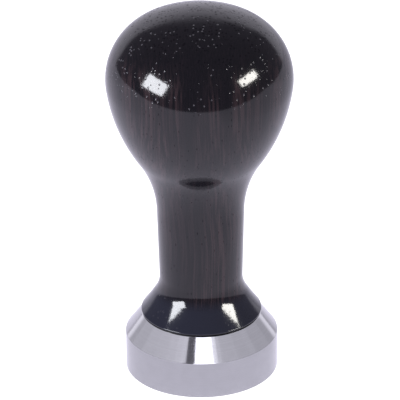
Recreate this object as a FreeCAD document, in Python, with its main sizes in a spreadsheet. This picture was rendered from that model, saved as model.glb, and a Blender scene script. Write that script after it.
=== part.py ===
import FreeCAD, Part
import math
import os
import Sketcher

# A hand tamper for espresso: a turned wooden handle that screws onto a solid steel base.
# The origin is the middle of the sole, which presses the coffee, and +Z points up the handle.

# Driving dimensions, in millimetres and degrees.
DIMENSIONS = [
    # base: a short cylinder, a conical shoulder and a blind tapped hole
    ("base_radius", 20.5, "wall that fits the basket"),
    ("wall_height", 10.2, "cylindrical wall, from the sole up"),
    ("base_height", 16.1, "sole to the flat that the handle seats on"),
    ("seat_radius", 16.05, "upper edge of the conical shoulder"),
    ("edge_break", 0.15, "chamfer round the sole"),
    ("shoulder_round", 0.3, "rounding where the wall meets the cone"),
    ("seat_round", 0.4, "rounding of the cone's upper edge"),
    ("hole_depth", 12.3, "full-diameter depth of the tapped hole"),
    ("countersink_radius", 4.5, "mouth of the tapped hole"),
    # washer between base and handle
    ("washer_radius", 15.7, "outside of the washer"),
    ("washer_bore_radius", 4.1, "hole for the stud"),
    ("washer_thickness", 0.3, "thickness of the washer"),
    # handle: knob, neck and skirt, measured from its underside
    ("handle_height", 87.2, "underside to the top of the knob"),
    ("knob_radius", 24.8, "widest circle of the knob"),
    ("crown_radius", 34.6, "flat dome on top of the knob"),
    ("cheek_radius", 17.7, "tighter curve round the widest circle"),
    ("flank_radius", 46.9, "long curve from the cheek down to the throat"),
    ("throat_radius", 28.5, "hollow curve under the knob"),
    ("neck_radius", 11.16, "foot of the neck, its thinnest place"),
    ("neck_length", 19.1, "straight stretch of the neck"),
    ("neck_taper", 1.57, "slope of the neck, which thins downwards"),
    ("flare_radius", 9.0, "hollow curve from the neck to the skirt"),
    ("skirt_curve", 50.0, "slight hollow of the skirt below the flare"),
    ("skirt_slope", 51.0, "slope of the skirt at its lower edge, down from the horizontal"),
    ("skirt_radius", 16.5, "underside of the skirt, before its lip is rounded"),
    ("lip_radius", 0.3, "rounding of the skirt's lower edge"),
    # hole in the underside of the handle
    ("recess_radius", 7.7, "counterbore for the insert's flange"),
    ("recess_depth", 1.2, "depth of the counterbore"),
    ("bore_radius", 6.35, "hole for the insert's barrel"),
    ("bore_depth", 21.0, "full-diameter depth of that hole"),
    # threaded insert
    ("flange_radius", 7.5, "flange of the insert"),
    ("flange_thickness", 0.9, "thickness of the flange"),
    ("flange_setback", 0.25, "flange below flush with the wood"),
    ("insert_length", 17.9, "insert with its flange"),
    ("barb_radius", 6.3, "tips of the barbs"),
    ("barb_root_radius", 5.7, "barrel between the barbs"),
    ("barb_pitch", 2.0, "one barb to the next"),
    ("barb_count", 8, "barbs along the barrel"),
    # stud
    ("stud_length", 30.0, "end to end"),
    ("stud_reach", 11.0, "how far the stud stands out of the wood"),
    ("stud_chamfer", 0.7, "chamfer on both ends"),
    ("socket_flats", 4.0, "hexagon socket across flats"),
    ("socket_depth", 5.0, "depth of the hexagon socket"),
    # M8 x 1.25 thread, shared by base, insert and stud
    ("thread_pitch", 1.25, "lift in one turn"),
    ("stud_crest_radius", 3.95, "top of the outside thread"),
    ("stud_root_radius", 3.3, "bottom of the outside thread"),
    ("tapped_radius", 3.45, "top of the inside thread"),
    ("crest_flat", 0.16, "flat on the crest of the outside thread"),
    ("thread_gap", 0.12, "clearance between outside and inside thread"),
    ("flank_angle", 30.0, "slope of a thread flank, from square to the axis"),
    ("drill_angle", 59.0, "half the point angle of a twist drill"),
]


def make_sheet(doc):
    """Fill a spreadsheet with the driving dimensions, one aliased cell each."""
    sheet = doc.addObject("Spreadsheet::Sheet", "dims")
    for row, (alias, value, note) in enumerate(DIMENSIONS, start=1):
        sheet.set(f"A{row}", note)
        sheet.set(f"B{row}", str(value))
        sheet.setAlias(f"B{row}", alias)
    doc.recompute()
    return sheet


def make_body(doc, name):
    """An empty body whose label names its piece."""
    body = doc.addObject("PartDesign::Body", name)
    body.Label = name
    return body


def new_sketch(body, name, plane="XZ_Plane"):
    """A sketch on an origin plane of the body. On XZ, across is the radius and up is the height."""
    sketch = body.newObject("Sketcher::SketchObject", name)
    support = next(item for item in body.Origin.OriginFeatures if item.Role == plane)
    sketch.AttachmentSupport = [(support, "")]
    sketch.MapMode = "FlatFace"
    return sketch


def drive(sketch, expression, kind, *where, start=1.0):
    """Add one constraint whose value is an expression on the sheet, from a starting value."""
    index = sketch.addConstraint(Sketcher.Constraint(kind, *where, start))
    sketch.setExpression(f"Constraints[{index}]", expression)


def draw_polygon(sketch, corners):
    """Draw a closed outline through the corners, each a pair of expressions: across and up."""
    count = len(corners)
    # the corners start evenly spaced on a circle, and their constraints pull them into place
    turn = 2 * math.pi / count
    start = [FreeCAD.Vector(math.cos(turn * n), math.sin(turn * n), 0) for n in range(count)]
    for n in range(count):
        sketch.addGeometry(Part.LineSegment(start[n], start[(n + 1) % count]), False)
    for n, (across, up) in enumerate(corners):
        sketch.addConstraint(Sketcher.Constraint("Coincident", n, 2, (n + 1) % count, 1))
        drive(sketch, across, "DistanceX", -1, 1, n, 1)
        drive(sketch, up, "DistanceY", -1, 1, n, 1)


def turn_round(body, sketch, name, kind="PartDesign::Revolution"):
    """Turn a sketch once round the vertical axis, to add a solid or, as a Groove, to cut one."""
    before = body.Shape.Volume if body.Tip else 0
    feature = body.newObject(kind, name)
    feature.Profile = sketch
    feature.ReferenceAxis = (sketch, ["V_Axis"])
    feature.Angle = 360
    body.Document.recompute()
    grew = body.Shape.Volume > before
    if grew != (kind == "PartDesign::Revolution"):
        raise ValueError(f"{name} went the wrong way")
    return feature


def ring_edge(feature, radius, height):
    """Name of the feature's circular edge with this radius at this height."""
    for number, edge in enumerate(feature.Shape.Edges, start=1):
        if edge.Degenerated or not isinstance(edge.Curve, Part.Circle):
            continue
        if abs(edge.Curve.Radius - radius) < 1e-3 and abs(edge.Curve.Center.z - height) < 1e-3:
            return f"Edge{number}"
    raise ValueError(f"no circular edge of radius {radius} at height {height}")


def round_edge(body, name, radius, height, size):
    """Round the body's circular edge of this radius at this height, to the given expression."""
    tip = body.Tip
    rounded = body.newObject("PartDesign::Fillet", name)
    rounded.Base = (tip, [ring_edge(tip, radius, height)])
    rounded.setExpression("Radius", size)
    body.Document.recompute()


def cut_thread(body, name, corners, turns):
    """Cut a right-hand groove of the given section, climbing one pitch each turn."""
    before = body.Shape.Volume
    sketch = new_sketch(body, name + "_section")
    draw_polygon(sketch, corners)
    groove = body.newObject("PartDesign::SubtractiveHelix", name)
    groove.Profile = sketch
    groove.ReferenceAxis = (sketch, ["V_Axis"])
    groove.Mode = "pitch-turns-angle"
    groove.setExpression("Pitch", "dims.thread_pitch")
    groove.setExpression("Turns", turns)
    groove.Angle = 0
    groove.LeftHanded = False
    groove.Reversed = False
    body.Document.recompute()
    if body.Shape.Volume >= before:
        raise ValueError(f"{name} cut nothing")
    return groove


def outside_thread_section(first_groove):
    """Groove between two ridges of the stud, centred at the height first_groove."""
    # it runs out past the crest by thread_gap, so that no skin is left there
    lip = "(dims.stud_crest_radius + dims.thread_gap)"
    root = "dims.stud_root_radius"
    slope = "tan(dims.flank_angle)"
    half_lip = f"((dims.thread_pitch - dims.crest_flat) / 2 + dims.thread_gap * {slope})"
    half_root = f"({half_lip} - ({lip} - {root}) * {slope})"
    return [
        (lip, f"{first_groove} - {half_lip}"),
        (lip, f"{first_groove} + {half_lip}"),
        (root, f"{first_groove} + {half_root}"),
        (root, f"{first_groove} - {half_root}"),
    ]


def inside_thread_section(first_ridge):
    """Groove that the stud's ridge runs in, centred at the height first_ridge, with clearance all round."""
    crest = "(dims.stud_crest_radius + dims.thread_gap)"
    mouth = "(dims.tapped_radius - dims.thread_gap)"
    slope = "tan(dims.flank_angle)"
    widening = f"(dims.thread_gap / cos(dims.flank_angle) - dims.thread_gap * {slope})"
    half_crest = f"(dims.crest_flat / 2 + {widening})"
    half_mouth = f"({half_crest} + ({crest} - {mouth}) * {slope})"
    return [
        (mouth, f"{first_ridge} - {half_mouth}"),
        (crest, f"{first_ridge} - {half_crest}"),
        (crest, f"{first_ridge} + {half_crest}"),
        (mouth, f"{first_ridge} + {half_mouth}"),
    ]


def seat(body, height, screwed=False):
    """Put a body at a height. A screwed one also turns as its thread does over that height."""
    body.setExpression("Placement.Base.z", height)
    if screwed:
        body.setExpression("Placement.Rotation.Angle", f"360 * ({height}) / dims.thread_pitch")


def make_base(doc):
    """Solid steel foot: turned outside, with a blind tapped hole from above."""
    body = make_body(doc, "tamper_base")
    outside = new_sketch(body, "base_outline")
    draw_polygon(outside, [
        ("0", "0"),
        ("dims.base_radius", "0"),
        ("dims.base_radius", "dims.wall_height"),
        ("dims.seat_radius", "dims.base_height"),
        ("0", "dims.base_height"),
    ])
    turned = turn_round(body, outside, "base_turned")

    sole = body.newObject("PartDesign::Chamfer", "sole_edge")
    sole.Base = (turned, [ring_edge(turned, doc.dims.base_radius, 0)])
    sole.setExpression("Size", "dims.edge_break")
    doc.recompute()

    dims = doc.dims
    round_edge(body, "shoulder_edge", dims.base_radius, dims.wall_height, "dims.shoulder_round")
    round_edge(body, "seat_edge", dims.seat_radius, dims.base_height, "dims.seat_round")

    hole = new_sketch(body, "hole_outline")
    bottom = "dims.base_height - dims.hole_depth"
    sink = "dims.countersink_radius - dims.tapped_radius"
    draw_polygon(hole, [
        ("0", f"{bottom} - dims.tapped_radius / tan(dims.drill_angle)"),
        ("dims.tapped_radius", bottom),
        ("dims.tapped_radius", f"dims.base_height - ({sink})"),
        ("dims.countersink_radius", "dims.base_height"),
        ("0", "dims.base_height"),
    ])
    turn_round(body, hole, "hole_drilled", "PartDesign::Groove")

    # ridges of the seated stud cross the section plane at whole pitches above the sole
    first = f"ceil(({bottom}) / dims.thread_pitch + 0.5) * dims.thread_pitch"
    turns = "floor(dims.hole_depth / dims.thread_pitch) + 1"
    cut_thread(body, "hole_thread", inside_thread_section(first), turns)
    return body


def make_washer(doc):
    """Thin flat washer, clamped between the base and the handle."""
    body = make_body(doc, "rubber_washer")
    section = new_sketch(body, "washer_section")
    draw_polygon(section, [
        ("dims.washer_bore_radius", "0"),
        ("dims.washer_radius", "0"),
        ("dims.washer_radius", "dims.washer_thickness"),
        ("dims.washer_bore_radius", "dims.washer_thickness"),
    ])
    turn_round(body, section, "washer_ring")
    seat(body, "dims.base_height")
    return body


def circle_meeting(centre_a, radius_a, centre_b, radius_b):
    """Where two circles cross, on the side nearer the axis."""
    apart = centre_b - centre_a
    along = (apart.Length ** 2 + radius_a ** 2 - radius_b ** 2) / (2 * apart.Length)
    across = math.sqrt(radius_a ** 2 - along ** 2)
    unit = apart / apart.Length
    side = FreeCAD.Vector(-unit.y, unit.x, 0)
    meetings = [centre_a + unit * along + side * across, centre_a + unit * along - side * across]
    return min(meetings, key=lambda point: point.x)


def handle_centres(dims):
    """Centres of the handle's six curves, and the ends of its neck, from the knob down."""
    taper = math.radians(dims.neck_taper)
    slope = math.radians(dims.skirt_slope)
    neck_out = FreeCAD.Vector(math.cos(taper), -math.sin(taper), 0)
    neck_up = FreeCAD.Vector(math.sin(taper), math.cos(taper), 0)

    crown = FreeCAD.Vector(0, dims.handle_height - dims.crown_radius, 0)
    cheek_across = dims.knob_radius - dims.cheek_radius
    cheek_rise = math.sqrt((dims.crown_radius - dims.cheek_radius) ** 2 - cheek_across ** 2)
    cheek = crown + FreeCAD.Vector(cheek_across, cheek_rise, 0)

    # the skirt is hollow, so its centre stands outside, square to its slope at the lower edge
    skirt = FreeCAD.Vector(dims.skirt_radius, 0, 0)
    skirt += FreeCAD.Vector(math.sin(slope), math.cos(slope), 0) * dims.skirt_curve

    # the flare's centre stands one flare radius off both the neck and the skirt
    flare_across = dims.neck_radius + dims.flare_radius * math.cos(taper)
    apart = dims.skirt_curve - dims.flare_radius
    flare_up = skirt.y - math.sqrt(apart ** 2 - (skirt.x - flare_across) ** 2)
    flare = FreeCAD.Vector(flare_across, flare_up, 0)

    neck_foot = flare - neck_out * dims.flare_radius
    neck_top = neck_foot + neck_up * dims.neck_length
    throat = neck_top + neck_out * dims.throat_radius
    flank = circle_meeting(
        cheek, dims.flank_radius - dims.cheek_radius, throat, dims.flank_radius + dims.throat_radius
    )
    return [crown, cheek, flank, throat, flare, skirt], [neck_top, neck_foot]


def make_arc(centre, radius, first, second):
    """The arc about centre that runs anticlockwise from the direction of first to that of second."""
    angles = [math.atan2(point.y - centre.y, point.x - centre.x) for point in (first, second)]
    circle = Part.Circle(centre, FreeCAD.Vector(0, 0, 1), radius)
    return Part.ArcOfCircle(circle, angles[0], angles[1])


def draw_handle(sketch, dims):
    """Outline of the handle: six tangent curves, with a straight neck between two of them."""
    (crown, cheek, flank, throat, flare, skirt), (neck_top, neck_foot) = handle_centres(dims)

    top = FreeCAD.Vector(0, dims.handle_height, 0)
    cheek_top = crown + (cheek - crown).normalize() * dims.crown_radius
    cheek_foot = flank + (cheek - flank).normalize() * dims.flank_radius
    flank_foot = flank + (throat - flank).normalize() * dims.flank_radius
    skirt_top = skirt + (flare - skirt).normalize() * dims.skirt_curve
    rim = FreeCAD.Vector(dims.skirt_radius, 0, 0)
    middle = FreeCAD.Vector(0, 0, 0)

    # a bulging arc starts at its foot, and a hollow one at its top
    crown_arc = sketch.addGeometry(make_arc(crown, dims.crown_radius, cheek_top, top), False)
    cheek_arc = sketch.addGeometry(make_arc(cheek, dims.cheek_radius, cheek_foot, cheek_top), False)
    flank_arc = sketch.addGeometry(make_arc(flank, dims.flank_radius, flank_foot, cheek_foot), False)
    throat_arc = sketch.addGeometry(make_arc(throat, dims.throat_radius, flank_foot, neck_top), False)
    neck_line = sketch.addGeometry(Part.LineSegment(neck_top, neck_foot), False)
    flare_arc = sketch.addGeometry(make_arc(flare, dims.flare_radius, neck_foot, skirt_top), False)
    skirt_arc = sketch.addGeometry(make_arc(skirt, dims.skirt_curve, skirt_top, rim), False)
    under_line = sketch.addGeometry(Part.LineSegment(rim, middle), False)
    axis_line = sketch.addGeometry(Part.LineSegment(middle, top), False)

    start, end, centre = 1, 2, 3
    origin, upright = -1, -2
    for upper, upper_end, lower, lower_end in [
        (crown_arc, start, cheek_arc, end),
        (cheek_arc, start, flank_arc, end),
        (flank_arc, start, throat_arc, start),
        (throat_arc, end, neck_line, start),
        (neck_line, end, flare_arc, start),
        (flare_arc, end, skirt_arc, start),
    ]:
        sketch.addConstraint(Sketcher.Constraint("Tangent", upper, upper_end, lower, lower_end))
    for first, first_end, second, second_end in [
        (skirt_arc, end, under_line, start),
        (under_line, end, axis_line, start),
        (axis_line, end, crown_arc, end),
        (under_line, end, origin, start),
    ]:
        sketch.addConstraint(Sketcher.Constraint("Coincident", first, first_end, second, second_end))
    sketch.addConstraint(Sketcher.Constraint("Horizontal", under_line))
    sketch.addConstraint(Sketcher.Constraint("Vertical", axis_line))
    sketch.addConstraint(Sketcher.Constraint("PointOnObject", crown_arc, centre, upright))

    for arc, alias in [
        (crown_arc, "crown_radius"),
        (cheek_arc, "cheek_radius"),
        (flank_arc, "flank_radius"),
        (throat_arc, "throat_radius"),
        (flare_arc, "flare_radius"),
        (skirt_arc, "skirt_curve"),
    ]:
        drive(sketch, f"dims.{alias}", "Radius", arc, start=getattr(dims, alias))
    across = "dims.knob_radius - dims.cheek_radius"
    drive(sketch, across, "DistanceX", origin, 1, cheek_arc, centre, start=cheek.x)
    drive(sketch, "dims.handle_height", "DistanceY", origin, 1, crown_arc, end, start=top.y)
    drive(sketch, "dims.neck_radius", "DistanceX", origin, 1, neck_line, end, start=neck_foot.x)
    drive(sketch, "dims.skirt_radius", "DistanceX", origin, 1, skirt_arc, end, start=rim.x)
    drive(sketch, "dims.neck_length", "Distance", neck_line, start=dims.neck_length)
    drive(sketch, "-90 - dims.neck_taper", "Angle", neck_line, start=math.radians(-90 - dims.neck_taper))
    across = "dims.skirt_radius + dims.skirt_curve * sin(dims.skirt_slope)"
    drive(sketch, across, "DistanceX", origin, 1, skirt_arc, centre, start=skirt.x)


def make_handle(doc):
    """Wooden handle turned in one piece, with a stepped hole up its middle for the insert."""
    body = make_body(doc, "wooden_handle")
    outside = new_sketch(body, "handle_outline")
    draw_handle(outside, doc.dims)
    turn_round(body, outside, "handle_turned")

    round_edge(body, "skirt_lip", doc.dims.skirt_radius, 0, "dims.lip_radius")

    hole = new_sketch(body, "bore_outline")
    draw_polygon(hole, [
        ("0", "0"),
        ("dims.recess_radius", "0"),
        ("dims.recess_radius", "dims.recess_depth"),
        ("dims.bore_radius", "dims.recess_depth"),
        ("dims.bore_radius", "dims.bore_depth"),
        ("0", "dims.bore_depth + dims.bore_radius / tan(dims.drill_angle)"),
    ])
    turn_round(body, hole, "bore_drilled", "PartDesign::Groove")
    seat(body, "dims.base_height + dims.washer_thickness")
    return body


def make_insert(doc):
    """Brass insert: a flange, a barbed barrel and a tapped hole right through."""
    body = make_body(doc, "threaded_insert")
    outside = new_sketch(body, "insert_outline")
    barbs = []
    for n in range(int(doc.dims.barb_count)):
        foot = f"dims.flange_thickness + {n} * dims.barb_pitch"
        # each barb rises gently and drops sharply towards the flange, so that it can't pull out
        barbs += [
            ("dims.barb_root_radius", f"{foot} + dims.barb_pitch / 4"),
            ("dims.barb_radius", f"{foot} + dims.barb_pitch / 2"),
        ]
    draw_polygon(outside, [
        ("dims.tapped_radius", "0"),
        ("dims.flange_radius", "0"),
        ("dims.flange_radius", "dims.flange_thickness"),
        ("dims.barb_root_radius", "dims.flange_thickness"),
        *barbs,
        ("dims.barb_root_radius", "dims.insert_length"),
        ("dims.tapped_radius", "dims.insert_length"),
    ])
    turn_round(body, outside, "insert_turned")

    height = "dims.base_height + dims.washer_thickness + dims.flange_setback"
    # the thread starts one pitch below the insert and ends above it
    turns = "ceil(dims.insert_length / dims.thread_pitch) + 2"
    cut_thread(body, "insert_thread", inside_thread_section("-dims.thread_pitch"), turns)
    seat(body, height, screwed=True)
    return body


def make_stud(doc):
    """Steel stud threaded along its whole length, with a hexagon socket in its lower end."""
    body = make_body(doc, "threaded_stud")
    outside = new_sketch(body, "stud_outline")
    tip = "dims.stud_crest_radius - dims.stud_chamfer"
    draw_polygon(outside, [
        ("0", "0"),
        (tip, "0"),
        ("dims.stud_crest_radius", "dims.stud_chamfer"),
        ("dims.stud_crest_radius", "dims.stud_length - dims.stud_chamfer"),
        (tip, "dims.stud_length"),
        ("0", "dims.stud_length"),
    ])
    turn_round(body, outside, "stud_turned")

    turns = "ceil(dims.stud_length / dims.thread_pitch) + 2"
    cut_thread(body, "stud_thread", outside_thread_section("-dims.thread_pitch / 2"), turns)

    hexagon = new_sketch(body, "socket_outline", "XY_Plane")
    corner = "dims.socket_flats / sqrt(3)"
    draw_polygon(hexagon, [(f"{corner} * cos({60 * n})", f"{corner} * sin({60 * n})") for n in range(6)])
    before = body.Shape.Volume
    socket = body.newObject("PartDesign::Pocket", "hex_socket")
    socket.Profile = hexagon
    socket.setExpression("Length", "dims.socket_depth")
    socket.Reversed = True
    doc.recompute()
    if body.Shape.Volume >= before:
        raise ValueError("hex_socket cut nothing")
    seat(body, "dims.base_height + dims.washer_thickness - dims.stud_reach", screwed=True)
    return body


def check(doc, bodies):
    """Stop if any object failed or any body isn't one valid solid."""
    for item in doc.Objects:
        if "Invalid" in item.State or "Error" in item.State:
            raise ValueError(f"{item.Name} failed: {item.State}")
    for body in bodies:
        shape = body.Shape
        if shape.isNull() or not shape.isValid() or len(shape.Solids) != 1:
            raise ValueError(f"{body.Label} is not one valid solid")
        print(f"{body.Label}: {shape.Volume:.1f} mm3, box {shape.BoundBox}")


def main():
    doc = FreeCAD.newDocument("tamper")
    make_sheet(doc)
    bodies = [make(doc) for make in (make_base, make_washer, make_handle, make_insert, make_stud)]
    doc.recompute()
    check(doc, bodies)
    os.makedirs("parts", exist_ok=True)
    for body in bodies:
        body.Shape.exportStep(f"parts/{body.Label}.step")


main()
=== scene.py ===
"""Looks of an espresso tamper: a dark lacquered wooden handle screwed onto a turned steel base.

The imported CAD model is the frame. The wooden handle is rebuilt as a finer lathe mesh on the same
profile; the other CAD nodes stay and get their finishes here. Lengths are metres unless a name or
a comment says millimetres.
"""

import math

import bpy
from mathutils import Euler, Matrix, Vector


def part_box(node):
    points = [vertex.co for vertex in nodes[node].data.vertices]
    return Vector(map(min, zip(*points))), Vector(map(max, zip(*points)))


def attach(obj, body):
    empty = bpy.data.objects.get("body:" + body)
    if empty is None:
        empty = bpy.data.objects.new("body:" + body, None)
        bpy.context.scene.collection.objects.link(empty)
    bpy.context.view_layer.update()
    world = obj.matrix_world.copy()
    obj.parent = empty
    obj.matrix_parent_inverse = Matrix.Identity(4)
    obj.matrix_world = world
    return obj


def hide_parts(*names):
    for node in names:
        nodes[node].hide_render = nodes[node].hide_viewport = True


MM = 0.001

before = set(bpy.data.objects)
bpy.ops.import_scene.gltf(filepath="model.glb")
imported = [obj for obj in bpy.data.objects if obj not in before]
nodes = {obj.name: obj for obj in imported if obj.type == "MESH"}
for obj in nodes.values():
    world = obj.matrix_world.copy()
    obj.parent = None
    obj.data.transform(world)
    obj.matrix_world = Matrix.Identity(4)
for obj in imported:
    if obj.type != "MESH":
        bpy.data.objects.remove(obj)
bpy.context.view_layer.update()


# ---------------------------------------------------------------- handle shape, in millimetres

HANDLE_HEIGHT = 87.2
KNOB_RADIUS = 24.8
CROWN_RADIUS = 34.6
CHEEK_RADIUS = 17.7
FLANK_RADIUS = 46.9
THROAT_RADIUS = 28.5
NECK_RADIUS = 11.16
NECK_LENGTH = 19.1
NECK_TAPER = math.radians(1.57)
FLARE_RADIUS = 9.0
SKIRT_CURVE = 50.0
SKIRT_SLOPE = math.radians(51.0)
SKIRT_RADIUS = 16.5
LIP_RADIUS = 0.3
RECESS_RADIUS = 7.7
RECESS_DEPTH = 1.2
BORE_RADIUS = 6.35
BORE_DEPTH = 21.0
DRILL_ANGLE = math.radians(59)

STEP_ANGLE = math.radians(1.2)  # of a curve of the profile
NECK_STEPS = 24
TURN_STEPS = 288  # round the axis
SHARP_ANGLE = math.radians(30)


def circle_meeting(centre_a, radius_a, centre_b, radius_b):
    """Where two circles cross, on the side nearer the axis."""
    apart = centre_b - centre_a
    along = (apart.length**2 + radius_a**2 - radius_b**2) / (2 * apart.length)
    across = math.sqrt(radius_a**2 - along**2)
    unit = apart.normalized()
    side = Vector((-unit.y, unit.x))
    meetings = [centre_a + unit * along + side * across * sign for sign in (1, -1)]
    return min(meetings, key=lambda point: point.x)


def towards(centre, other, distance):
    """The point that far from centre on the way to the other point."""
    return centre + (other - centre).normalized() * distance


def arc(centre, radius, first, last):
    """Points on the shorter arc about centre, from the direction of first to that of last."""
    start = math.atan2(first.y - centre.y, first.x - centre.x)
    sweep = math.atan2(last.y - centre.y, last.x - centre.x) - start
    sweep = (sweep + math.pi) % (2 * math.pi) - math.pi
    steps = max(2, round(abs(sweep) / STEP_ANGLE))
    angles = [start + sweep * n / steps for n in range(steps + 1)]
    return [centre + Vector((math.cos(a), math.sin(a))) * radius for a in angles]


def line(first, last, steps):
    """Evenly spaced points from first to last."""
    return [first.lerp(last, n / steps) for n in range(steps + 1)]


def handle_centres():
    """Centres of the circles of the outside, from the top down, and then the ends of the neck."""
    neck_out = Vector((math.cos(NECK_TAPER), -math.sin(NECK_TAPER)))
    neck_up = Vector((math.sin(NECK_TAPER), math.cos(NECK_TAPER)))

    crown = Vector((0, HANDLE_HEIGHT)) - Vector((0, CROWN_RADIUS))
    cheek_across = KNOB_RADIUS - CHEEK_RADIUS
    cheek_rise = math.sqrt((CROWN_RADIUS - CHEEK_RADIUS) ** 2 - cheek_across**2)
    cheek = crown + Vector((cheek_across, cheek_rise))

    rim = Vector((SKIRT_RADIUS, 0))
    skirt = rim + Vector((math.sin(SKIRT_SLOPE), math.cos(SKIRT_SLOPE))) * SKIRT_CURVE
    flare_across = NECK_RADIUS + FLARE_RADIUS * math.cos(NECK_TAPER)
    flare_drop = math.sqrt((SKIRT_CURVE - FLARE_RADIUS) ** 2 - (skirt.x - flare_across) ** 2)
    flare = Vector((flare_across, skirt.y - flare_drop))

    neck_foot = flare - neck_out * FLARE_RADIUS
    neck_top = neck_foot + neck_up * NECK_LENGTH
    throat = neck_top + neck_out * THROAT_RADIUS
    flank = circle_meeting(cheek, FLANK_RADIUS - CHEEK_RADIUS, throat, FLANK_RADIUS + THROAT_RADIUS)
    return [crown, cheek, flank, throat, flare, skirt], [neck_top, neck_foot]


def handle_outside():
    """Points down the outside of the handle: radius and height."""
    [crown, cheek, flank, throat, flare, skirt], [neck_top, neck_foot] = handle_centres()

    top = Vector((0, HANDLE_HEIGHT))
    cheek_top = towards(crown, cheek, CROWN_RADIUS)
    cheek_foot = towards(flank, cheek, FLANK_RADIUS)
    flank_foot = towards(flank, throat, FLANK_RADIUS)
    skirt_top = towards(skirt, flare, SKIRT_CURVE)

    # the lip rounds the corner between the skirt and the underside
    lip_in = math.sqrt((SKIRT_CURVE + LIP_RADIUS) ** 2 - (skirt.y - LIP_RADIUS) ** 2)
    lip = Vector((skirt.x - lip_in, LIP_RADIUS))
    lip_top = towards(skirt, lip, SKIRT_CURVE)
    lip_foot = Vector((lip.x, 0))

    points = arc(crown, CROWN_RADIUS, top, cheek_top)
    points += arc(cheek, CHEEK_RADIUS, cheek_top, cheek_foot)[1:]
    points += arc(flank, FLANK_RADIUS, cheek_foot, flank_foot)[1:]
    points += arc(throat, THROAT_RADIUS, flank_foot, neck_top)[1:]
    points += line(neck_top, neck_foot, NECK_STEPS)[1:]
    points += arc(flare, FLARE_RADIUS, neck_foot, skirt_top)[1:]
    points += arc(skirt, SKIRT_CURVE, skirt_top, lip_top)[1:]
    points += arc(lip, LIP_RADIUS, lip_top, lip_foot)[1:]
    return points


def handle_bore():
    """Corners from the underside up the recess and the bore to its drilled point."""
    return [
        Vector((RECESS_RADIUS, 0)),
        Vector((RECESS_RADIUS, RECESS_DEPTH)),
        Vector((BORE_RADIUS, RECESS_DEPTH)),
        Vector((BORE_RADIUS, BORE_DEPTH)),
        Vector((0, BORE_DEPTH + BORE_RADIUS / math.tan(DRILL_ANGLE))),
    ]


def lathe(name, profile, foot):
    """A closed mesh of revolution of a profile that starts and ends on the axis.

    The foot is the height in metres at which the profile's heights start.
    """
    ring_points = profile[1:-1]
    vertices = [(0, 0, foot + profile[0].y * MM)]
    for point in ring_points:
        for n in range(TURN_STEPS):
            angle = 2 * math.pi * n / TURN_STEPS
            radius = point.x * MM
            height = foot + point.y * MM
            vertices.append((radius * math.cos(angle), radius * math.sin(angle), height))
    vertices.append((0, 0, foot + profile[-1].y * MM))

    faces = []
    last_vertex = len(vertices) - 1
    last_ring = 1 + (len(ring_points) - 1) * TURN_STEPS
    for n in range(TURN_STEPS):
        after = (n + 1) % TURN_STEPS
        faces.append((0, 1 + n, 1 + after))
        faces.append((last_vertex, last_ring + after, last_ring + n))
        for ring in range(len(ring_points) - 1):
            upper = 1 + ring * TURN_STEPS
            lower = upper + TURN_STEPS
            faces.append((upper + n, lower + n, lower + after, upper + after))

    mesh = bpy.data.meshes.new(name)
    mesh.from_pydata(vertices, [], faces)
    mesh.shade_smooth()
    mesh.set_sharp_from_angle(angle=SHARP_ANGLE)
    made = bpy.data.objects.new(name, mesh)
    bpy.context.scene.collection.objects.link(made)
    return made


# ---------------------------------------------------------------- node graphs


class Graph:
    """Adds shader nodes to a tree. A value that is a socket is linked, any other is set."""

    def __init__(self, tree):
        self.tree = tree

    def feed(self, socket, value):
        if isinstance(value, bpy.types.NodeSocket):
            self.tree.links.new(value, socket)
        else:
            socket.default_value = value

    def node(self, kind, values=(), **settings):
        made = self.tree.nodes.new("ShaderNode" + kind)
        for key, value in settings.items():
            setattr(made, key, value)
        for key, value in dict(values).items():
            self.feed(made.inputs[key], value)
        return made

    def math(self, operation, *values):
        return self.node("Math", enumerate(values), operation=operation).outputs[0]

    def vector(self, operation, *values):
        return self.node("VectorMath", enumerate(values), operation=operation).outputs[0]

    def length(self, vector):
        return self.node("VectorMath", {0: vector}, operation="LENGTH").outputs["Value"]

    def axes(self, vector):
        """The outputs X, Y and Z of a vector."""
        return self.node("SeparateXYZ", {0: vector}).outputs

    def step(self, value, low, high, to_low=0.0, to_high=1.0):
        """Smooth ramp of a value: to_low at low and below, to_high at high and above."""
        numbers = [value, low, high, to_low, to_high]
        made = self.node("MapRange", enumerate(numbers), interpolation_type="SMOOTHSTEP")
        return made.outputs[0]

    def noise(self, vector, scale, detail=2.0, roughness=0.5, output="Fac"):
        values = {"Vector": vector, "Scale": scale, "Detail": detail, "Roughness": roughness}
        return self.node("TexNoise", values).outputs[output]

    def spots(self, vector, scale, radius):
        """1 in the middle of scattered spots and 0 outside. The radius is a share of a cell."""
        cells = self.node("TexVoronoi", {"Vector": vector, "Scale": scale}).outputs["Distance"]
        return self.step(self.math("DIVIDE", cells, radius), 0.4, 1.0, to_low=1.0, to_high=0.0)

    def blend(self, share, first, second):
        """Colour that goes from first to second as share goes from 0 to 1."""
        made = self.node("Mix", data_type="RGBA")
        self.feed(made.inputs["Factor"], share)
        self.feed(made.inputs["A"], first)
        self.feed(made.inputs["B"], second)
        return made.outputs["Result"]

    def bump(self, height, distance, normal=None):
        values = {"Height": height, "Distance": distance, "Strength": 1.0}
        if normal is not None:
            values["Normal"] = normal
        return self.node("Bump", values).outputs["Normal"]


def new_material(name):
    made = bpy.data.materials.new(name)
    made.use_nodes = True
    return made, made.node_tree.nodes["Principled BSDF"], Graph(made.node_tree)


def own_place(graph):
    """The point in millimetres of the piece's own frame, which moves with it."""
    place = graph.node("TexCoord").outputs["Object"]
    return graph.node("VectorMath", {0: place, "Scale": 1 / MM}, operation="SCALE").outputs[0]


def stretched(graph, place, stretch):
    """The place squeezed along Z, so that a pattern over it is that much longer there."""
    return graph.vector("MULTIPLY", place, (1, 1, 1 / stretch))


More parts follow.
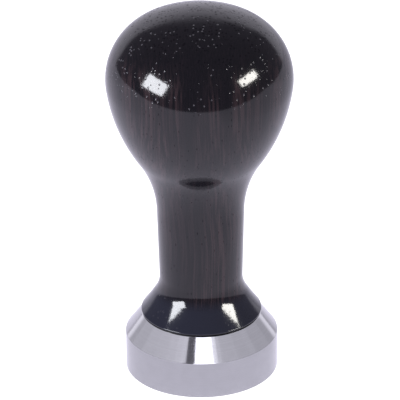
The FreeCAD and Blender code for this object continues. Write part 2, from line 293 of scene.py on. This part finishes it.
def turned(graph, place):
    """The place as distance from the axis and height, so that a pattern over it makes rings."""
    across = graph.length(graph.vector("MULTIPLY", place, (1, 1, 0)))
    return graph.node("CombineXYZ", {0: across, 1: graph.axes(place)["Z"]}).outputs[0]


# ---------------------------------------------------------------- materials

# Scales of patterns are per millimetre. Heights are millimetres above the sole.

GROUND_DARK = (0.0022, 0.0020, 0.0034, 1)
GROUND_PALE = (0.0052, 0.0038, 0.0060, 1)
# the skirt's paler bluish colour is a painted reflection of the room in its lacquer
SKIRT_PAINTED_REFLECTION = (0.0130, 0.0140, 0.0230, 1)
STREAK = (0.0260, 0.0155, 0.0180, 1)
# the pores' pale colour is partly their filler and partly painted glints of light in their dents
PORE_FILL_AND_GLINT = (0.0720, 0.0680, 0.0780, 1)

DRIFT = 3.0  # millimetres from side to side that the fibres may wander
SKIRT_REFLECTION_HEIGHTS = (21.0, 25.0)  # heights between which the skirt's painted reflection gives way to the neck's colour
PORES_GROW = (30.0, 60.0)  # heights between which the round pores grow to their full size


def along_fibres(graph, place):
    """The place moved with the fibres, which wander a little from the axis."""
    drift = graph.noise(place, scale=0.035, detail=1.0, output="Color")
    drift = graph.vector("SUBTRACT", drift, (0.5, 0.5, 0.5))
    return graph.vector("ADD", place, graph.vector("MULTIPLY", drift, (DRIFT, DRIFT, 0)))


def wood_colour(graph, fibre, height, upward):
    """Near-black ground, with reddish streaks along the grain in layers that stand square to X; the
    skirt gets a paler bluish painted reflection of the room.
    """
    layer = graph.vector("MULTIPLY", fibre, (1, 0.18, 1))
    broad = graph.noise(stretched(graph, layer, 12), scale=0.16)
    streaks = graph.noise(stretched(graph, layer, 50), scale=2.0, detail=3.0, roughness=0.6)
    fine = graph.noise(stretched(graph, layer, 35), scale=4.5, roughness=0.6)

    # the streaks hardly show on the crown, which cuts across the grain
    share = graph.math("MULTIPLY", graph.step(streaks, 0.42, 0.66), graph.step(broad, 0.32, 0.56))
    side_on = graph.step(upward, 0.3, 0.75, to_low=1.0, to_high=0.08)
    share = graph.math("MULTIPLY", share, side_on)

    ground = graph.blend(graph.step(fine, 0.42, 0.68), GROUND_DARK, GROUND_PALE)
    colour = graph.blend(share, ground, STREAK)
    # painted reflection: the skirt is made paler and bluer, like the room it mirrors
    skirt_reflection_share = graph.step(height, *SKIRT_REFLECTION_HEIGHTS, to_low=1.0, to_high=0.0)
    return graph.blend(skirt_reflection_share, colour, SKIRT_PAINTED_REFLECTION)


def round_pores(graph, place, fibre, height, upward):
    """Round pores, pale partly from their filler and partly as painted glints in their dents, which
    gather in patches where the surface faces up.
    """
    crowd = graph.step(graph.noise(place, scale=0.14, detail=1.0), 0.40, 0.56)
    crowd = graph.math("MULTIPLY", crowd, graph.step(upward, -0.1, 0.25))
    crowd = graph.math("MULTIPLY", crowd, graph.step(height, *PORES_GROW, to_low=0.45))
    radius = graph.step(crowd, 0.0, 1.0, to_low=0.01, to_high=0.27)
    return graph.spots(fibre, 0.85, radius)


def fine_dots(graph, place, fibre, upward):
    """Small dark pores all over, wider on the crown, which cuts the fibres across."""
    radius = graph.step(upward, 0.6, 0.9, to_low=0.19, to_high=0.42)
    dot = graph.spots(stretched(graph, fibre, 3), 1.1, radius)
    patches = graph.step(graph.noise(place, scale=0.3, detail=1.0), 0.40, 0.55)
    return graph.math("MULTIPLY", dot, patches)


def lacquer_normal(graph, fibre, pore):
    """Faint waves and ripples in the lacquer, and a dip at each round pore."""
    wave = graph.noise(stretched(graph, fibre, 10), scale=0.25)
    ripple = graph.noise(stretched(graph, fibre, 6), scale=0.9, detail=3.0, roughness=0.6)
    normal = graph.bump(wave, 0.012 * MM)
    normal = graph.bump(ripple, 0.017 * MM, normal)
    return graph.bump(graph.math("SUBTRACT", 1.0, pore), 0.05 * MM, normal)


def lacquered_wood():
    """Near-black open-pored wood, its grain along the axis, under a clear high-gloss lacquer."""
    made, shader, graph = new_material("lacquered_wood")
    place = own_place(graph)
    height = graph.axes(place)["Z"]
    upward = graph.axes(graph.node("TexCoord").outputs["Normal"])["Z"]
    fibre = along_fibres(graph, place)
    pore = round_pores(graph, place, fibre, height, upward)
    dot = fine_dots(graph, place, fibre, upward)

    # pale pores: partly filler, partly painted glints of light in their dents
    colour = graph.blend(pore, wood_colour(graph, fibre, height, upward), PORE_FILL_AND_GLINT)
    graph.feed(shader.inputs["Base Color"], colour)

    # the pores break the lacquer
    wide = graph.math("MULTIPLY", pore, 0.5)
    small = graph.math("MULTIPLY", dot, 0.6)
    whole = graph.math("SUBTRACT", 1.0, graph.math("MAXIMUM", wide, small))
    graph.feed(shader.inputs["Coat Weight"], whole)

    lacquer = lacquer_normal(graph, fibre, pore)
    graph.feed(shader.inputs["Normal"], lacquer)
    graph.feed(shader.inputs["Coat Normal"], lacquer)

    shader.inputs["Roughness"].default_value = 0.5
    shader.inputs["Specular IOR Level"].default_value = 0.0
    shader.inputs["Coat Roughness"].default_value = 0.10
    shader.inputs["Coat IOR"].default_value = 1.5
    return made


STEEL_DARK = (0.400, 0.402, 0.404, 1)
STEEL_PALE = (0.430, 0.432, 0.434, 1)
BRASS_DARK = (0.66, 0.46, 0.20, 1)
BRASS_PALE = (0.80, 0.61, 0.31, 1)
ZINC_DARK = (0.52, 0.53, 0.56, 1)
ZINC_PALE = (0.66, 0.67, 0.70, 1)


def turned_metal(name, dark, pale, smooth, rough, scale, depth):
    """Bare metal with fine rings about the axis and faint blotches, as from a lathe and a cloth.

    The scale and the depth in millimetres are those of the rings.
    """
    made, shader, graph = new_material(name)
    place = own_place(graph)
    rings = graph.noise(turned(graph, place), scale, detail=3.0, roughness=0.7)
    cloth = graph.noise(place, scale=0.35, detail=3.0)
    rings_part = graph.math("MULTIPLY", rings, 0.7)
    cloth_part = graph.math("MULTIPLY", cloth, 0.3)
    share = graph.math("ADD", rings_part, cloth_part)
    colour = graph.blend(graph.step(share, 0.38, 0.62), dark, pale)
    graph.feed(shader.inputs["Base Color"], colour)
    graph.feed(shader.inputs["Roughness"], graph.step(share, 0.35, 0.65, smooth, rough))
    graph.feed(shader.inputs["Normal"], graph.bump(rings, depth * MM))
    shader.inputs["Metallic"].default_value = 1.0
    return made


RUBBER = (0.004, 0.004, 0.005, 1)
RUBBER_DUST = (0.012, 0.012, 0.013, 1)


def black_rubber():
    """Matt black rubber with a faint moulded grain and a little dust."""
    made, shader, graph = new_material("black_rubber")
    place = own_place(graph)
    grain = graph.noise(place, scale=4.0, detail=3.0, roughness=0.6)
    dust = graph.step(graph.noise(place, scale=0.6, detail=3.0), 0.5, 0.75)
    graph.feed(shader.inputs["Base Color"], graph.blend(dust, RUBBER, RUBBER_DUST))
    graph.feed(shader.inputs["Roughness"], graph.step(grain, 0.3, 0.7, to_low=0.5, to_high=0.75))
    graph.feed(shader.inputs["Normal"], graph.bump(grain, 0.01 * MM))
    return made


def give(obj, material):
    """Give the whole object one material."""
    obj.data.materials.clear()
    obj.data.materials.append(material)


# ---------------------------------------------------------------- pieces

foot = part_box("wooden_handle")[0].z
handle = lathe("turned_handle", handle_outside() + handle_bore(), foot)
give(handle, lacquered_wood())
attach(handle, "handle")
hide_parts("wooden_handle")

steel_looks = turned_metal(
    "turned_steel", STEEL_DARK, STEEL_PALE, smooth=0.07, rough=0.12, scale=6.0, depth=0.0006
)
brass_looks = turned_metal(
    "brass", BRASS_DARK, BRASS_PALE, smooth=0.16, rough=0.30, scale=3.0, depth=0.0020
)
zinc_looks = turned_metal(
    "plated_steel", ZINC_DARK, ZINC_PALE, smooth=0.14, rough=0.26, scale=2.0, depth=0.0015
)
for node, looks, slot in [
    ("tamper_base", steel_looks, "stainless_steel"),
    ("rubber_washer", black_rubber(), "black_rubber"),
    ("threaded_insert", brass_looks, "brass"),
    ("threaded_stud", zinc_looks, "plated_steel"),
]:
    give(nodes[node], looks)


# ---------------------------------------------------------------- floor

TABLE_FRONT = -0.357
TABLE_REACH = 3.0
TABLE_PAINT = (0.8, 0.8, 0.8, 1)
TABLE_LEFT = (0.95, 0.92, 1.09, 1)
TABLE_RIGHT = (0.70, 0.68, 0.80, 1)
LEFT_TO_RIGHT = (0.01, 0.16)  # places along X between which the table's colour changes
GLOW_NEAR = 0.92
GLOW_FAR = 0.70
NEAR_TO_FAR = (0.12, 0.35)  # places along Y between which its glow changes

FLOOR_REACH = 6.0
FLOOR_HEIGHT = -0.002
FLOOR_GLOW = 1.5


def plane(name, low, high, height):
    """A level matt rectangle between two corners, with its material's shader and graph."""
    corners = [(low[0], low[1]), (high[0], low[1]), (high[0], high[1]), (low[0], high[1])]
    mesh = bpy.data.meshes.new(name)
    mesh.from_pydata([(x, y, height) for x, y in corners], [], [(0, 1, 2, 3)])
    made = bpy.data.objects.new(name, mesh)
    bpy.context.scene.collection.objects.link(made)
    material, shader, graph = new_material(name)
    shader.inputs["Roughness"].default_value = 1.0
    shader.inputs["Specular IOR Level"].default_value = 0.0
    give(made, material)
    return made, shader, graph


def mirrored_table():
    """The table that the piece mirrors but the camera doesn't see, dimmer on the right and behind.

    It glows, so that the piece throws hardly any shadow on it.
    """
    corners = (-TABLE_REACH, TABLE_FRONT), (TABLE_REACH, TABLE_REACH)
    table, shader, graph = plane("table", *corners, 0.0)
    table.visible_camera = False
    place = graph.axes(graph.node("TexCoord").outputs["Object"])
    right = graph.step(place["X"], *LEFT_TO_RIGHT)
    glow = graph.step(place["Y"], *NEAR_TO_FAR, to_low=GLOW_NEAR, to_high=GLOW_FAR)
    graph.feed(shader.inputs["Emission Color"], graph.blend(right, TABLE_LEFT, TABLE_RIGHT))
    graph.feed(shader.inputs["Emission Strength"], glow)
    shader.inputs["Base Color"].default_value = TABLE_PAINT


def seen_floor():
    """The plain white floor that only the camera sees, just below the table."""
    corners = (-FLOOR_REACH, -FLOOR_REACH), (FLOOR_REACH, FLOOR_REACH)
    floor, shader, _ = plane("backdrop", *corners, FLOOR_HEIGHT)
    shader.inputs["Emission Color"].default_value = (1, 1, 1, 1)
    shader.inputs["Emission Strength"].default_value = FLOOR_GLOW
    shader.inputs["Base Color"].default_value = (0, 0, 0, 1)
    for ray in ("visible_diffuse", "visible_glossy", "visible_transmission", "visible_shadow"):
        setattr(floor, ray, False)


mirrored_table()
seen_floor()


# ---------------------------------------------------------------- lights

KNOB_FRONT = (0.0, -0.020, 0.080)
KEY_COLOUR = (0.955, 0.975, 1.03)
FILL_COLOUR = (1.0, 0.98, 0.93)

CARD_COLOUR = (0.97, 0.955, 1.08)
CARD_DISTANCE = 0.5
CARD_MIDDLE = 0.40
CARD_HEIGHT = 0.76

# the azimuths in degrees at which each card starts and ends, and its radiance
CARDS = [
    (-150, -120, 0.62),
    (-120, -100, 0.74),
    (-100, -80, 0.82),
    (-80, -60, 0.86),
    (-60, -46, 0.92),
    (-46, -36, 1.00),
    (-36, -27, 1.08),
    (-12, 20, 3.2),
    (20, 27, 1.5),
    (27, 34, 0.92),
    (34, 60, 0.76),
    (60, 90, 0.70),
    (90, 115, 0.62),
    (115, 150, 0.54),
]


def sky_point(azimuth, elevation, distance, target):
    """The point seen from target in that direction. Azimuth 0 is towards the camera, 90 is +X."""
    a = math.radians(azimuth)
    e = math.radians(elevation)
    way = Vector((math.sin(a) * math.cos(e), -math.cos(a) * math.cos(e), math.sin(e)))
    return Vector(target) + way * distance


def softbox(name, place, target, width, height, radiance, colour, lit, roll=0.0):
    """A rectangular light that faces the target and lights only the given objects."""
    data = bpy.data.lights.new(name, "AREA")
    data.shape = "RECTANGLE"
    data.size = width
    data.size_y = height
    data.energy = radiance * math.pi * width * height
    data.color = colour
    made = bpy.data.objects.new(name, data)
    bpy.context.scene.collection.objects.link(made)
    made.location = place
    facing = (Vector(target) - Vector(place)).to_track_quat("-Z", "Y").to_euler()
    turn = facing.to_matrix() @ Euler((0, 0, math.radians(roll))).to_matrix()
    made.rotation_euler = turn.to_euler()
    made.visible_camera = False
    receivers = bpy.data.collections.new(name + "_receivers")
    for obj in lit:
        receivers.objects.link(obj)
    made.light_linking.receiver_collection = receivers


def windows(lit):
    """Two windows of light that mirror in the lacquer, cool on the left and warm on the right."""
    key_place = sky_point(azimuth=-58.7, elevation=18.8, distance=2.0, target=KNOB_FRONT)
    softbox(
        "key", key_place, KNOB_FRONT, width=1.09, height=0.74,
        radiance=20, colour=KEY_COLOUR, lit=lit, roll=-9,
    )
    fill_place = sky_point(azimuth=68, elevation=23.5, distance=1.8, target=KNOB_FRONT)
    softbox(
        "fill", fill_place, KNOB_FRONT, width=0.82, height=0.37,
        radiance=24, colour=FILL_COLOUR, lit=lit, roll=6,
    )


def card_ring(lit):
    """Upright cards in a ring for the steel's cone to mirror, with a dark gap left of the front."""
    centre = (0, 0, CARD_MIDDLE)
    for number, (start, end, radiance) in enumerate(CARDS):
        width = 2 * CARD_DISTANCE * math.tan(math.radians(end - start) / 2)
        place = sky_point((start + end) / 2, elevation=0, distance=CARD_DISTANCE, target=centre)
        softbox(f"card_{number}", place, centre, width, CARD_HEIGHT, radiance, CARD_COLOUR, lit)


windows([handle, nodes["rubber_washer"], nodes["threaded_insert"], nodes["threaded_stud"]])
card_ring([nodes["tamper_base"]])


# ---------------------------------------------------------------- room

ROOM = (0.20, 0.19, 0.235, 1)
WALL = (0.90, 0.87, 1.00, 1)


def studio_world():
    """A dim room, with a pale wall behind the table that narrows and fades as it rises.

    Both are painted by the direction looked in, a vector of length 1.
    """
    world = bpy.data.worlds.new("room")
    bpy.context.scene.world = world
    world.use_nodes = True
    graph = Graph(world.node_tree)
    way = graph.node("TexCoord").outputs["Generated"]
    rise = graph.axes(way)["Z"]

    # how nearly the level part of the way points straight behind the table: 1 is exactly there
    level = graph.length(graph.vector("MULTIPLY", way, (1, 1, 0)))
    behind = graph.math("DIVIDE", graph.axes(way)["Y"], graph.math("MAXIMUM", level, 0.001))

    # the wall's sides draw in to its middle as it rises
    edge = graph.step(rise, 0.05, 0.75, to_low=0.66, to_high=1.0)
    wall = graph.step(graph.math("SUBTRACT", behind, edge), -0.06, 0.06)
    fade = graph.step(rise, 0.38, 0.84, to_low=1.0, to_high=0.0)
    wall = graph.math("MULTIPLY", wall, fade)

    background = world.node_tree.nodes["Background"]
    graph.feed(background.inputs["Color"], graph.blend(wall, ROOM, WALL))
    background.inputs["Strength"].default_value = 1.0


studio_world()


# ---------------------------------------------------------------- camera

CAMERA_PLACE = (0, -0.9485, 0.5153)
CAMERA_DIP = 26.19  # degrees below level
CAMERA_ROLL = -0.5  # degrees
CAMERA_LENS = 357.2  # millimetres, on a sensor 36 wide
CAMERA_SHIFT = -0.001175  # of the frame's width

camera_data = bpy.data.cameras.new("camera")
camera_data.sensor_width = 36
camera_data.lens = CAMERA_LENS
camera_data.shift_x = CAMERA_SHIFT
camera_data.clip_start = 0.05
camera_data.clip_end = 50
camera = bpy.data.objects.new("camera", camera_data)
bpy.context.scene.collection.objects.link(camera)
camera.location = CAMERA_PLACE
camera.rotation_mode = "QUATERNION"
pitch = Euler((math.radians(90 - CAMERA_DIP), 0, 0)).to_quaternion()
roll = Euler((0, 0, math.radians(CAMERA_ROLL))).to_quaternion()
camera.rotation_quaternion = pitch @ roll
bpy.context.scene.camera = camera
bpy.context.scene.view_settings.view_transform = "Standard"
